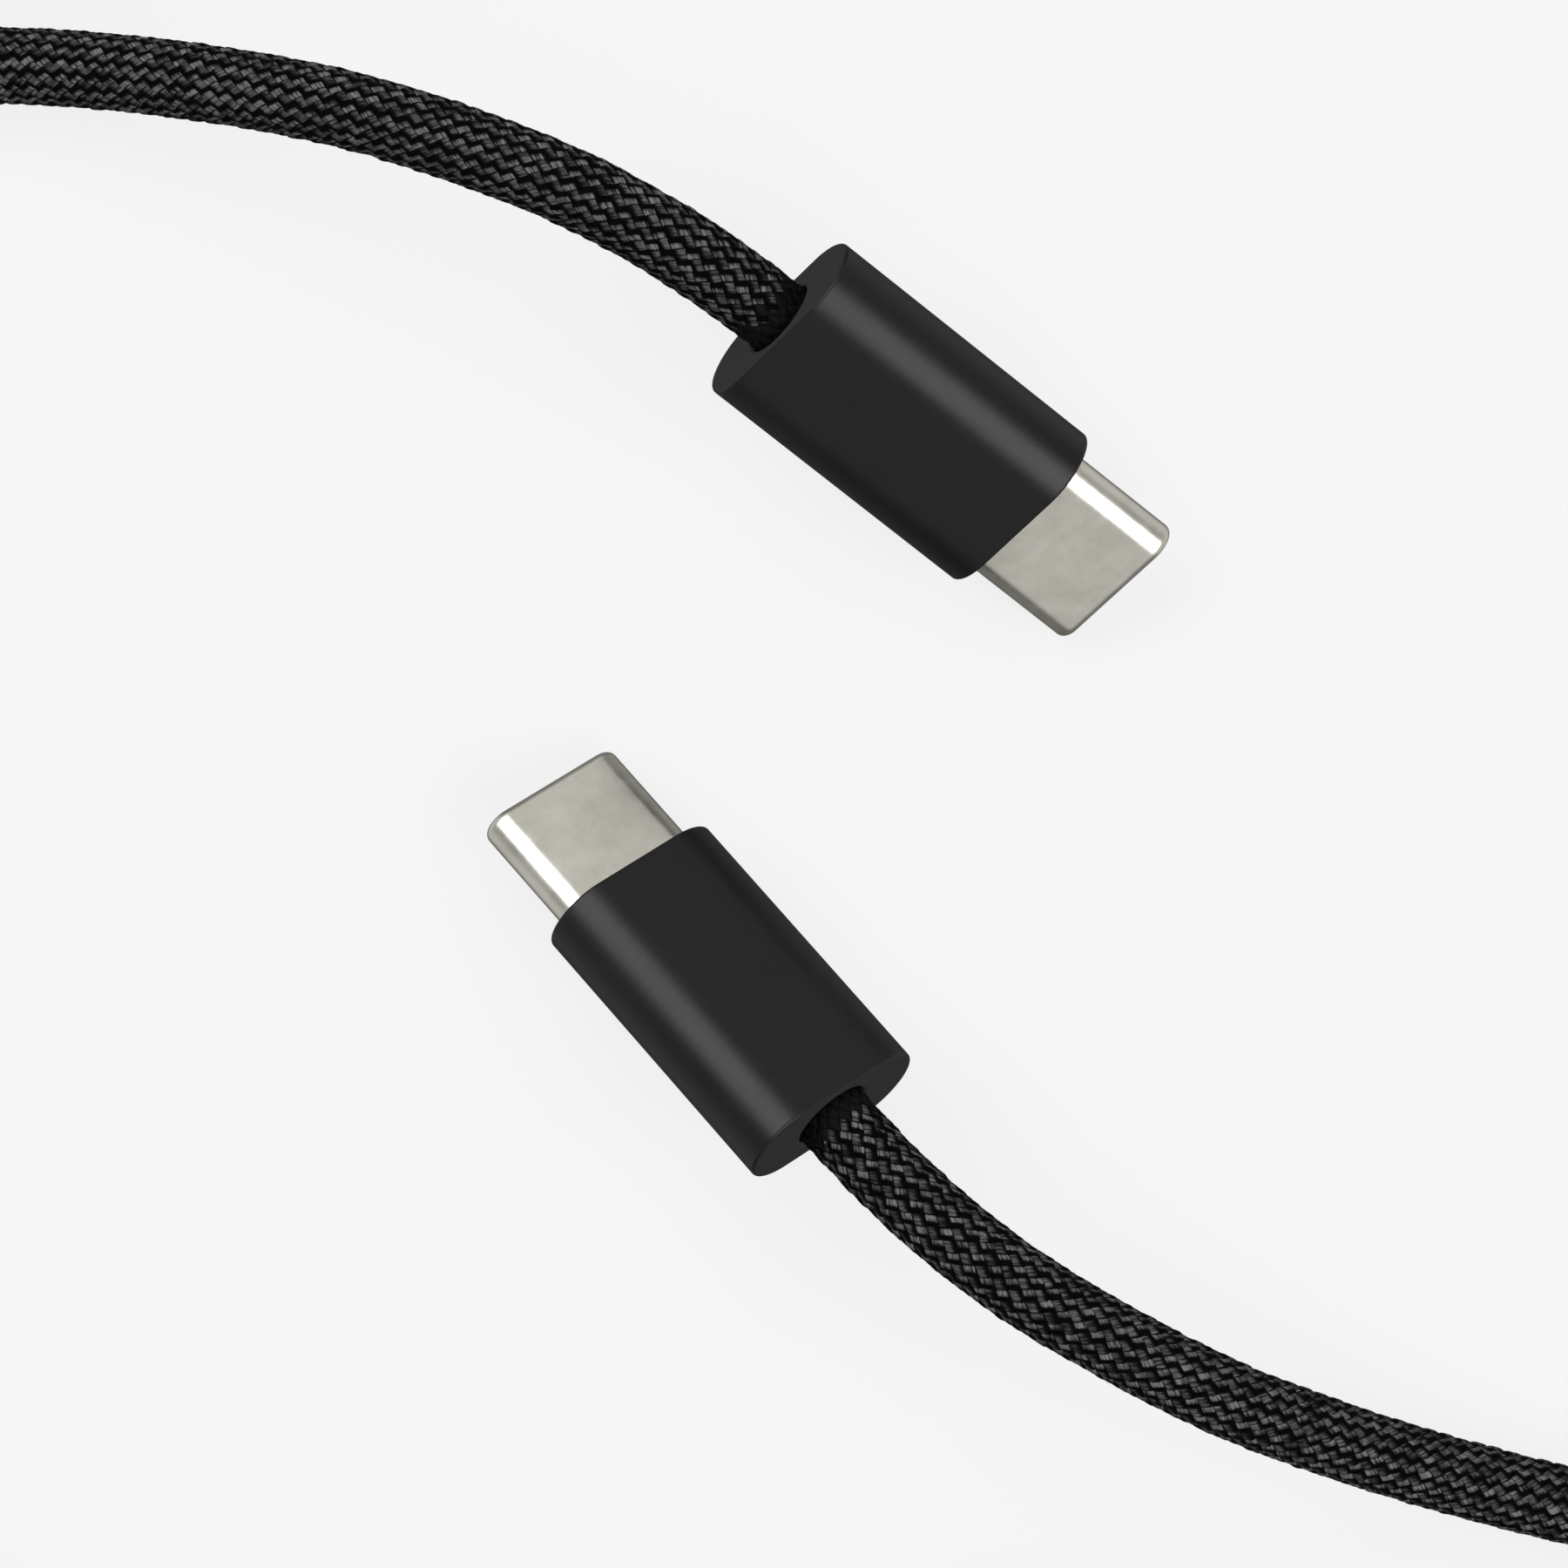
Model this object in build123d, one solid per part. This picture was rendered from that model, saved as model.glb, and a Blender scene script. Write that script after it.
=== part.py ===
from build123d import *
import math
import os

# A charging cable: a braided cord with the same reversible oval plug on both ends.
# Millimetres, +Z up. The origin is on the surface it lies on, below the middle of the two plugs.
# Each plug is built in its own frame, +Y towards its tip, +Z up, with the housing's front face
# at Y = 0, and is then placed twice. The plugs rest on their tips, held up behind by the cord.

# ---- driving dimensions -------------------------------------------------------------------
HOUSING_W = 10.2
HOUSING_T = 5.25
HOUSING_L = 16.0
HOUSING_WALL = 0.7
REAR_WALL = 1.2
EDGE_ROUND = 0.15

SHELL_W = 8.25
SHELL_T = 2.4
SHELL_OUT = 6.6
SHELL_IN = 5.0
SHELL_WALL = 0.3
LIP_WALL = 0.5
LIP_L = 0.6
LIP_ROUND = 0.4

PITCH = 0.5
CONTACTS_PER_ROW = 12
CONTACT_W = 0.22
CONTACT_LOW = 0.40
CONTACT_HIGH = 0.55
CONTACT_NOSE = 0.33

BOARD_W = 7.2
BOARD_L = 7.2
BOARD_T = 0.8

CORD_D = 3.8
JACKET_D = 3.2
WIRE_D = 0.8
CABLE_HOLE_D = 4.0
GAP = 0.05

PLUG_TILT = 19.0
PLUG_ROLL = 29.0
PLUG_A_FRONT = (9.564, 10.187)
PLUG_A_HEADING = -37.2
PLUG_B_FRONT = (-9.926, -8.703)
PLUG_B_HEADING = 131.9

COLUMN_STEP = 3.9
LAYERS = 2
HANK_CENTRE = (-16.25, -62.5)
HANK_RUN = 59.5
HANK_FOLD = 16.0
HANK_WAIST = 9.6
HANK_SHOULDER = 22.0
HANK_DIP = 13.95
HANK_BEND = 24.0
HANK_SKIN = 0.1
LEAD_IN = 11.5
TIE_W = 10.0
TIE_T = 0.9

# The cord's way from plug A to the hank, and from plug B to the hank. Each list starts where
# the cord leaves the plug and ends where it meets the hank's lead-in.
ROUTE_A = [
    (-2.49, 19.33, 9.72),
    (-8.83, 24.15, 12.46),
    (-21.5, 29.1, 10.8),
    (-30.3, 31.1, 7.3),
    (-38.6, 32.3, 3.9),
    (-46.0, 32.6, 1.9),
    (-55.6, 27.8, 1.9),
    (-61.6, 18.9, 1.9),
    (-62.2, 3.0, 1.9),
    (-60.8, -17.0, 1.9),
    (-62.0, -37.0, 1.9),
    (-62.0, -51.0, 1.9),
]
ROUTE_B = [
    (0.18, -19.96, 9.72),
    (5.48, -25.88, 12.46),
    (17.2, -32.9, 10.8),
    (24.8, -36.1, 7.3),
    (33.0, -38.8, 3.9),
    (41.3, -40.9, 1.9),
    (49.4, -49.5, 1.9),
    (51.5, -61.2, 1.9),
    (46.8, -72.0, 1.9),
    (36.7, -78.5, 1.9),
    (25.0, -78.5, 1.9),
]


# ---- helpers ------------------------------------------------------------------------------
def across(y):
    """The plane across the plug at y, with its own x to the right and its own y up."""
    return Plane(origin=(0, y, 0), x_dir=(1, 0, 0), z_dir=(0, -1, 0))


def bar(section, y0, y1):
    """A section carried along the plug from y0 to y1."""
    return extrude(across(y0) * section, amount=y1 - y0, dir=(0, 1, 0))


def oval(width, thickness, y0, y1):
    return bar(SlotOverall(width, thickness), y0, y1)


def block(x0, x1, y0, y1, z0, z1):
    middle = Pos((x0 + x1) / 2, (y0 + y1) / 2, (z0 + z1) / 2)
    return middle * Box(x1 - x0, y1 - y0, z1 - z0)


def rod(diameter, y0, y1, x=0.0, z=0.0):
    return bar(Pos(x, z) * Circle(diameter / 2), y0, y1)


def upper_half(solid):
    return solid & block(-20, 20, -30, 20, GAP / 2, 20)


def lower_half(solid):
    return solid & block(-20, 20, -30, 20, -20, -GAP / 2)


def contact_places():
    first = -PITCH * (CONTACTS_PER_ROW - 1) / 2
    return [first + PITCH * i for i in range(CONTACTS_PER_ROW)]


# ---- the plug's pieces --------------------------------------------------------------------
def housing():
    outside = oval(HOUSING_W, HOUSING_T, -HOUSING_L, 0)
    rims = outside.edges().filter_by(lambda e: abs(e.bounding_box().size.Y) < 0.01)
    outside = fillet(rims, EDGE_ROUND)
    width, thickness = HOUSING_W - 2 * HOUSING_WALL, HOUSING_T - 2 * HOUSING_WALL
    inside = oval(width, thickness, -HOUSING_L + REAR_WALL, 1)
    return outside - inside - rod(CABLE_HOLE_D, -HOUSING_L - 1, 0)


def front_collar():
    width, thickness = HOUSING_W - 2 * HOUSING_WALL, HOUSING_T - 2 * HOUSING_WALL
    plate = oval(width - GAP, thickness - GAP, -1.5, -0.15)
    return plate - oval(SHELL_W + GAP, SHELL_T + GAP, -2, 1)


def connector_shell():
    tip = SHELL_OUT
    outside = oval(SHELL_W, SHELL_T, -SHELL_IN, tip)
    mouth = outside.edges().filter_by(lambda e: e.bounding_box().min.Y > tip - 0.01)
    outside = fillet(mouth, LIP_ROUND)
    inside = oval(SHELL_W - 2 * SHELL_WALL, SHELL_T - 2 * SHELL_WALL, -SHELL_IN - 1, tip - LIP_L)
    opening = oval(SHELL_W - 2 * LIP_WALL, SHELL_T - 2 * LIP_WALL, tip - LIP_L - 0.1, tip + 1)
    return outside - inside - opening


def front_insulator():
    width, thickness = SHELL_W - 2 * SHELL_WALL - GAP, SHELL_T - 2 * SHELL_WALL - GAP
    y0, y1 = 1.0, SHELL_OUT - LIP_L
    body = oval(width, thickness, y0, y1)
    body -= block(-3.35, 3.35, y0 - 1, y1 + 1, -CONTACT_HIGH, CONTACT_HIGH)
    for side in (-1, 1):
        inner, outer = sorted((side * 2.9, side * 4.2))
        body -= block(inner, outer, y0 - 1, 5.2, -0.45, 0.45)
        spring_low, spring_high = sorted((side * 0.78, side * 1.0))
        body -= block(-3.3, 3.3, 2.2, y1 + 1, spring_low, spring_high)
    return body


def contact_row(side):
    """Twelve sprung blades in a row, above (side 1) or below (side -1) the tongue's space."""
    low, high, nose = side * CONTACT_LOW, side * CONTACT_HIGH, side * CONTACT_NOSE
    thick = side * (CONTACT_HIGH - CONTACT_LOW)
    outline = Polyline(
        (-6.5, low), (-6.5, high), (4.0, high), (4.4, nose + thick), (4.8, nose + thick),
        (5.2, high), (5.4, high - 0.05 * side), (4.9, nose), (4.3, nose), (3.9, low), close=True,
    )
    blade = extrude(Plane.YZ * make_face(outline), amount=CONTACT_W / 2, both=True)
    return Compound(children=[Pos(x, 0, 0) * blade for x in contact_places()])


def contact_holder():
    width, thickness = SHELL_W - 2 * SHELL_WALL - GAP, SHELL_T - 2 * SHELL_WALL - GAP
    body = oval(width, thickness, -SHELL_IN, 1.0)
    for x in contact_places():
        for low, high in ((CONTACT_LOW, CONTACT_HIGH), (-CONTACT_HIGH, -CONTACT_LOW)):
            body -= block(x - CONTACT_W / 2, x + CONTACT_W / 2, -SHELL_IN - 1, 2, low, high)
    return body


def latch(side):
    """A side blade whose hooked end holds the socket's tongue."""
    outline = Polyline(
        (side * 3.40, 1.15), (side * 3.60, 1.15), (side * 3.60, 4.9), (side * 3.40, 5.1),
        (side * 3.05, 4.7), (side * 3.05, 4.4), (side * 3.40, 4.1), close=True,
    )
    return extrude(make_face(outline), amount=0.3, both=True)


def ground_spring(side):
    """A thin plate with three sprung fingers, between the insulator and the shell."""
    low, high = sorted((side * 0.79, side * 0.87))
    plate = block(-3.2, 3.2, 2.3, 5.8, low, high)
    for x in (-2.2, 0.0, 2.2):
        for edge in (-0.55, 0.45):
            plate -= block(x + edge, x + edge + 0.1, 3.2, 6.0, low - 1, high + 1)
    return plate


def circuit_board():
    return block(-BOARD_W / 2, BOARD_W / 2, -SHELL_IN - BOARD_L, -SHELL_IN, -BOARD_T / 2, BOARD_T / 2)


def marker_chip():
    top = BOARD_T / 2
    body = block(-1.0, 1.0, -8.9, -7.3, top, top + 0.55)
    rim = body.edges().group_by(Axis.Z)[-1]
    return chamfer(rim, 0.08)


def board_passives():
    """Two-ended resistors and capacitors on both faces of the board."""
    top = BOARD_T / 2
    places = [(-2.3, -7.7, 1), (2.3, -7.7, 1), (-1.6, -8.0, -1), (0.0, -8.0, -1), (1.6, -8.0, -1)]
    made = []
    for x, y, side in places:
        low, high = sorted((side * top, side * (top + 0.35)))
        made.append(block(x - 0.5, x + 0.5, y - 0.25, y + 0.25, low, high))
    return Compound(children=made)


# Where each wire sits in the jacket's end, and where it lies on the board: x, z and x, z.
WIRES = {
    "wire_power": ((-0.82, 0.8), (-2.4, 0.8)),
    "wire_data_plus": ((0.0, 1.0), (0.0, 0.8)),
    "wire_data_minus": ((0.82, 0.8), (2.4, 0.8)),
    "wire_ground": ((-0.52, -0.8), (-1.7, -0.8)),
    "wire_control": ((0.52, -0.8), (1.7, -0.8)),
}
WIRE_START = -12.9
WIRE_END = -10.0


def wire(name):
    (x0, z0), (x1, z1) = WIRES[name]
    turn, land = WIRE_START + 0.35, WIRE_END - 0.9
    points = [(x0, WIRE_START, z0), (x0, turn, z0), (x1, land, z1), (x1, WIRE_END, z1)]
    bend = Vector(points[2]) - Vector(points[1])
    half = math.radians(bend.get_angle(Vector(0, 1, 0))) / 2
    radius = min(1.2, 0.45 * 0.35 * 2 / math.tan(half))
    path = FilletPolyline(*points, radius=max(radius, WIRE_D * 0.55))
    return sweep(across(WIRE_START) * Pos(x0, z0) * Circle(WIRE_D / 2), path=path)


def solder_joints():
    made = []
    for (_, _), (x, z) in WIRES.values():
        side = 1 if z > 0 else -1
        low, high = sorted((side * BOARD_T / 2, side * (BOARD_T / 2 + 0.5)))
        bead = block(x - 0.55, x + 0.55, WIRE_END, WIRE_END + 0.7, low, high)
        made.append(fillet(bead.edges().filter_by(Axis.Y), 0.2))
    return Compound(children=made)


def mould_half(side, others):
    """The soft filling over the board's front end, round what stands on the board."""
    body = oval(SHELL_W - 0.1, 3.2, -9.3, -SHELL_IN - GAP)
    low, high = sorted((side * BOARD_T / 2, side * 3))
    body &= block(-BOARD_W / 2, BOARD_W / 2, -20, 0, low, high)
    for other in others:
        body -= other
    return body


def shield_can():
    y0, y1 = -13.3, -1.7
    outside = oval(8.7, 3.75, y0, y1)
    return outside - oval(8.3, 3.35, y0 - 1, y1 + 1)


def crimp_ferrule():
    return rod(3.7, -14.75, -13.4) - rod(JACKET_D, -16, -12)


def cable_jacket_end():
    return rod(JACKET_D, -HOUSING_L, WIRE_START)


def plug_pieces():
    """Every piece of one plug, by name, in the plug's own frame."""
    made = {
        "housing": housing(),
        "front_collar": front_collar(),
        "connector_shell": connector_shell(),
        "front_insulator": front_insulator(),
        "contact_holder": contact_holder(),
        "upper_contacts": contact_row(1),
        "lower_contacts": contact_row(-1),
        "left_latch": latch(-1),
        "right_latch": latch(1),
        "upper_ground_spring": ground_spring(1),
        "lower_ground_spring": ground_spring(-1),
        "circuit_board": circuit_board(),
        "marker_chip": marker_chip(),
        "board_passives": board_passives(),
        "solder_joints": solder_joints(),
        "upper_shield": upper_half(shield_can()),
        "lower_shield": lower_half(shield_can()),
        "crimp_ferrule": crimp_ferrule(),
        "cable_jacket_end": cable_jacket_end(),
    }
    for name in WIRES:
        made[name] = wire(name)
    small = [made[n] for n in ("marker_chip", "board_passives")]
    made["upper_inner_mould"] = mould_half(1, small + [made["upper_contacts"]])
    made["lower_inner_mould"] = mould_half(-1, small + [made["lower_contacts"]])
    return made


# ---- placing the plugs --------------------------------------------------------------------
def plug_place(front, heading, lowest):
    """Where a plug lies: its front's x and y, the way its tip points, and its tip on the floor."""
    turn, tilt, roll = (math.radians(v) for v in (heading, PLUG_TILT, PLUG_ROLL))
    ahead = Vector(math.cos(turn) * math.cos(tilt), math.sin(turn) * math.cos(tilt), -math.sin(tilt))
    level = Vector(math.sin(turn), -math.cos(turn), 0)
    right = level * math.cos(roll) - level.cross(ahead) * math.sin(roll)
    frame = Plane(origin=(front[0], front[1], 0), x_dir=right, z_dir=right.cross(ahead))
    drop = (frame.location * lowest).bounding_box().min.Z
    return Pos(0, 0, -drop) * frame.location


# ---- the cord -----------------------------------------------------------------------------
def corner_radii(points):
    """The largest arcs that the runs leave room for."""
    spots = [Vector(*p) for p in points]
    radii = []
    for before, corner, after in zip(spots, spots[1:], spots[2:]):
        turn = math.radians((corner - before).get_angle(after - corner))
        shorter = min((corner - before).length, (after - corner).length)
        radii.append(0.45 * shorter / math.tan(turn / 2))
    return radii


def cord_tube(name, points):
    radii = corner_radii(points)
    path = FilletPolyline(*points, radius=radii)
    start = Plane(origin=points[0], z_dir=Vector(*points[1]) - Vector(*points[0]))
    tube = sweep(start * Circle(CORD_D / 2), path=path)
    ideal = math.pi * CORD_D**2 / 4 * path.length
    print(name, "length", round(path.length, 1), "volume/ideal", round(tube.volume / ideal, 4))
    print("   radii", [round(r, 1) for r in radii])
    return tube


def hank_outline(out):
    """The hank's closed outline, out from the middle line of its turns: two folds, two drawn-in runs."""
    fold = HANK_FOLD - COLUMN_STEP / 2
    end = HANK_RUN / 2 + fold + out
    slope = math.atan2(HANK_DIP, HANK_SHOULDER)
    shoulder = HANK_SHOULDER - out * math.tan(slope / 2)
    waist = fold - HANK_DIP + out / math.cos(slope)
    side = fold + out
    upper = [(-end, side), (-shoulder, side), (0, waist), (shoulder, side), (end, side)]
    lower = [(x, -y) for x, y in reversed(upper)]
    round_end = side - 0.4
    radii = [round_end, HANK_BEND + out, HANK_BEND - out, HANK_BEND + out, round_end] * 2
    return make_face(FilletPolyline(*upper, *lower, radius=radii, close=True))


def hank(tie):
    """The folded cord's outer shape, with a short straight lead-in for each end of the cord."""
    half = (COLUMN_STEP + CORD_D) / 2 + HANK_SKIN
    outline = hank_outline(half) - hank_outline(-half)
    side = -HANK_RUN / 2 - HANK_FOLD
    outline += Pos(side, LEAD_IN / 2) * Rectangle(CORD_D, LEAD_IN)
    outline += Pos((HANK_RUN + LEAD_IN) / 2, -HANK_FOLD) * Rectangle(LEAD_IN, CORD_D)
    return Pos(*HANK_CENTRE, 0) * extrude(outline, amount=LAYERS * CORD_D) - tie


def hook_and_loop_tie():
    """A soft strap round the hank's waist."""
    reach = HANK_FOLD - HANK_WAIST + CORD_D / 2 + 0.3
    height = LAYERS * CORD_D + 0.1
    hollow = RectangleRounded(2 * reach, height, 2.0)
    strap = RectangleRounded(2 * (reach + TIE_T), height + 2 * TIE_T, 2.0 + TIE_T)
    place = Plane(origin=(*HANK_CENTRE, height / 2 + TIE_T), x_dir=(0, 1, 0), z_dir=(1, 0, 0))
    return extrude(place * (strap - hollow), amount=TIE_W / 2, both=True)


# ---- writing ------------------------------------------------------------------------------
def main():
    os.makedirs("parts", exist_ok=True)
    pieces = plug_pieces()
    made = {}
    for letter, front, heading in (
        ("a", PLUG_A_FRONT, PLUG_A_HEADING),
        ("b", PLUG_B_FRONT, PLUG_B_HEADING),
    ):
        place = plug_place(front, heading, pieces["connector_shell"])
        exit_point = (place * Pos(0, -HOUSING_L, 0)).position
        print("plug", letter, "cord leaves at", [round(v, 2) for v in exit_point])
        for name, piece in pieces.items():
            made[f"plug_{letter}_{name}"] = place * piece
    tie = hook_and_loop_tie()
    made["cord_from_plug_a"] = cord_tube("a", ROUTE_A)
    made["cord_from_plug_b"] = cord_tube("b", ROUTE_B)
    made["cord_hank"] = hank(tie)
    made["hank_tie"] = tie
    plugs = [piece.bounding_box() for name, piece in made.items() if name.startswith("plug")]
    low = [min(getattr(box.min, axis) for box in plugs) for axis in "XYZ"]
    high = [max(getattr(box.max, axis) for box in plugs) for axis in "XYZ"]
    print("plugs' box", [round(v, 3) for v in low], [round(v, 3) for v in high])
    for name, piece in made.items():
        export_step(piece, f"parts/{name}.step")


main()
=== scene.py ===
import math

import bpy
import numpy as np
from mathutils import Matrix, Vector


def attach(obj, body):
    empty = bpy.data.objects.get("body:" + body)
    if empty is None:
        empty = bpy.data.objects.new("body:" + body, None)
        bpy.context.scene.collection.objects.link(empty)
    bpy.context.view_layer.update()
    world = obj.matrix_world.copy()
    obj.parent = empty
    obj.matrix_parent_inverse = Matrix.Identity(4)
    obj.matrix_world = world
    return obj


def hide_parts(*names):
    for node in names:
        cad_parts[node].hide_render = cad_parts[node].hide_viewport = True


# Looks for the charging cable. Lengths below are in millimetres, as in part.py, and are turned
# into metres when an object is made.

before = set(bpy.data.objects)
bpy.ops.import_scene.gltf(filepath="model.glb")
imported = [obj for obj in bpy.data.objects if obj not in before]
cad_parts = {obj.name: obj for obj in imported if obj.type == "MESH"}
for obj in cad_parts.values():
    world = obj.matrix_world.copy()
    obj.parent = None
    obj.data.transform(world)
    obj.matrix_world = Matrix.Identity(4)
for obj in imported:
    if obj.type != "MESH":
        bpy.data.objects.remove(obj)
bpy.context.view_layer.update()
MM = 0.001

# ---- camera -------------------------------------------------------------------------------
VIEW_CENTRE = (-2.21, -3.63)
CAMERA_HEIGHT = 350.0
FIELD = 79.36
SENSOR = 36.0

camera_data = bpy.data.cameras.new("camera")
camera_data.sensor_width = SENSOR
camera_data.lens = SENSOR * CAMERA_HEIGHT / FIELD
camera_data.clip_start = 0.01
camera_data.clip_end = 20.0
camera = bpy.data.objects.new("camera", camera_data)
camera.location = (VIEW_CENTRE[0] * MM, VIEW_CENTRE[1] * MM, CAMERA_HEIGHT * MM)
bpy.context.scene.collection.objects.link(camera)
bpy.context.scene.camera = camera
bpy.context.scene.view_settings.view_transform = "Standard"

# ---- the plugs' places ----------------------------------------------------------------------
PLUG_TILT = 19.0
PLUG_ROLL = 29.0
FRONT_HEIGHT = 4.511
# The middle of each plug's front face, seen from above, and the plug's heading in degrees.
PLUGS = {"a": ((9.564, 10.187), -37.2), "b": ((-9.926, -8.703), 131.9)}


def plug_matrix(front, heading):
    """From a plug's own frame (+Y to its tip, +Z up, front face at Y = 0) to the row frame."""
    turn, tilt, roll = (math.radians(v) for v in (heading, PLUG_TILT, PLUG_ROLL))
    level_part = math.cos(tilt)
    ahead = Vector((math.cos(turn) * level_part, math.sin(turn) * level_part, -math.sin(tilt)))
    level = Vector((math.sin(turn), -math.cos(turn), 0))
    right = level * math.cos(roll) - level.cross(ahead) * math.sin(roll)
    up = right.cross(ahead)
    place = Matrix((right, ahead, up)).transposed().to_4x4()
    place.translation = Vector((front[0], front[1], FRONT_HEIGHT))
    return place


# ---- the cord's line ------------------------------------------------------------------------
CORD_D = 3.8
FLOOR_Z = CORD_D / 2
ROUTE_A = [
    (-2.49, 19.33, 9.72),
    (-8.83, 24.15, 12.46),
    (-21.5, 29.1, 10.8),
    (-30.3, 31.1, 7.3),
    (-38.6, 32.3, 3.9),
    (-46.0, 32.6, 1.9),
    (-55.6, 27.8, 1.9),
    (-61.6, 18.9, 1.9),
    (-62.2, 3.0, 1.9),
    (-60.8, -17.0, 1.9),
    (-62.0, -37.0, 1.9),
    (-62.0, -51.0, 1.9),
]
ROUTE_B = [
    (0.18, -19.96, 9.72),
    (5.48, -25.88, 12.46),
    (17.2, -32.9, 10.8),
    (24.8, -36.1, 7.3),
    (33.0, -38.8, 3.9),
    (41.3, -40.9, 1.9),
    (49.4, -49.5, 1.9),
    (51.5, -61.2, 1.9),
    (46.8, -72.0, 1.9),
    (36.7, -78.5, 1.9),
]
# The hank's last run lies on the others, and comes down as it leaves the hank.
STEP_DOWN = [(15.5, -78.5, 5.7), (21.8, -78.5, 5.5), (28.0, -78.5, 2.7)]

HANK_CENTRE = (-16.25, -62.5)
HANK_RUN = 57.75
HANK_WAIST = 9.6
OUTER, INNER = 16.0, 12.15
LOW, HIGH = FLOOR_Z, FLOOR_Z + CORD_D
# Where a run has its control points, as shares of its half length from the middle.
RUN_STOPS = (-0.88, -0.5, -0.17, 0.17, 0.5, 0.88)
# At each of them: the outer turn's distance from the middle line, and how much its slope there
# sets the turns apart.
RUN = {0.17: (6.15, 1.04), 0.5: (12.0, 1.12), 0.88: (16.0, 1.01)}
# The two points nearest the middle are lifted by the thickness of the tie below them.
TIE_LIFT = 1.03
TIE_SHARE = 0.3
# Where a fold has its control points, in degrees.
FOLD_STEP = 30
RIGHT_FOLD = (-75, -45, -15, 15, 45, 75)
LEFT_FOLD = (105, 135, 165, 195, 225, 255)
# Each turn starts half way round the left fold: its distance from the middle line, and height.
TURNS = [(OUTER, LOW), (INNER, LOW), (INNER, HIGH), (OUTER, HIGH)]
# How far the change to the next turn has come, from the last two points of the far run to the end
# of the left fold. Each turn changes one point earlier than the one before it, which keeps the
# turns side by side, at most 0.25 mm into each other.
CHANGE = (0.0, 0.02, 0.18, 0.54, 0.88, 1.0, 1.0, 1.0, 1.0, 1.0)


def fold_point(side, angle, radius, z):
    """A control point of a fold, just outside the arc that the line then follows."""
    reach = radius / math.cos(math.radians(FOLD_STEP / 2))
    x = side * HANK_RUN / 2 + reach * math.cos(math.radians(angle))
    return (HANK_CENTRE[0] + x, HANK_CENTRE[1] + reach * math.sin(math.radians(angle)), z)


def run_point(share, side, radius, z):
    """A point of a run, drawn in towards the tie and lifted over it."""
    outer, apart = RUN[abs(share)]
    y = outer - (OUTER - radius) * apart
    lift = TIE_LIFT if abs(share) < TIE_SHARE else 0.0
    return (HANK_CENTRE[0] + share * HANK_RUN / 2, HANK_CENTRE[1] + side * y, z + lift)


def hank_points():
    """The hank's turns as control points: 24 to a whole turn, and one run for the last."""
    points = [fold_point(-1, angle, *TURNS[0]) for angle in LEFT_FOLD[3:]]
    for turn, ((radius, z), (next_radius, next_z)) in enumerate(zip(TURNS, TURNS[1:])):
        points += [run_point(share, -1, radius, z) for share in RUN_STOPS]
        points += [fold_point(1, angle, radius, z) for angle in RIGHT_FOLD]
        points += [run_point(-share, 1, radius, z) for share in RUN_STOPS[:4]]
        way = [(radius + (next_radius - radius) * part, z + (next_z - z) * part)
               for part in CHANGE[turn:turn + 2 + len(LEFT_FOLD)]]
        points += [run_point(-share, 1, *at) for share, at in zip(RUN_STOPS[4:], way)]
        points += [fold_point(-1, angle, *at) for angle, at in zip(LEFT_FOLD, way[2:])]
    return points + [run_point(share, -1, *TURNS[-1]) for share in RUN_STOPS]


CORD_LINE = ROUTE_A + hank_points() + STEP_DOWN + ROUTE_B[::-1]


def link(obj):
    bpy.context.scene.collection.objects.link(obj)
    return obj


def cord_curve(name, bevel):
    """The cord's line as a round NURBS tube of the given radius."""
    data = bpy.data.curves.new(name, "CURVE")
    data.dimensions = "3D"
    spline = data.splines.new("NURBS")
    spline.points.add(len(CORD_LINE) - 1)
    for point, (x, y, z) in zip(spline.points, CORD_LINE):
        point.co = (x * MM, y * MM, z * MM, 1)
    spline.order_u = 3
    spline.use_endpoint_u = True
    spline.resolution_u = 32
    data.bevel_depth = bevel * MM
    data.bevel_resolution = 5
    data.use_fill_caps = True
    return link(bpy.data.objects.new(name, data))


def line_points():
    """The spline's own points, in millimetres, as Blender evaluates the curve with no bevel."""
    bare = cord_curve("bare_line", 0.0)
    mesh = bpy.data.meshes.new_from_object(bare)
    points = np.array([v.co for v in mesh.vertices], float) / MM
    bpy.data.objects.remove(bare)
    bpy.data.meshes.remove(mesh)
    return points


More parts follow.
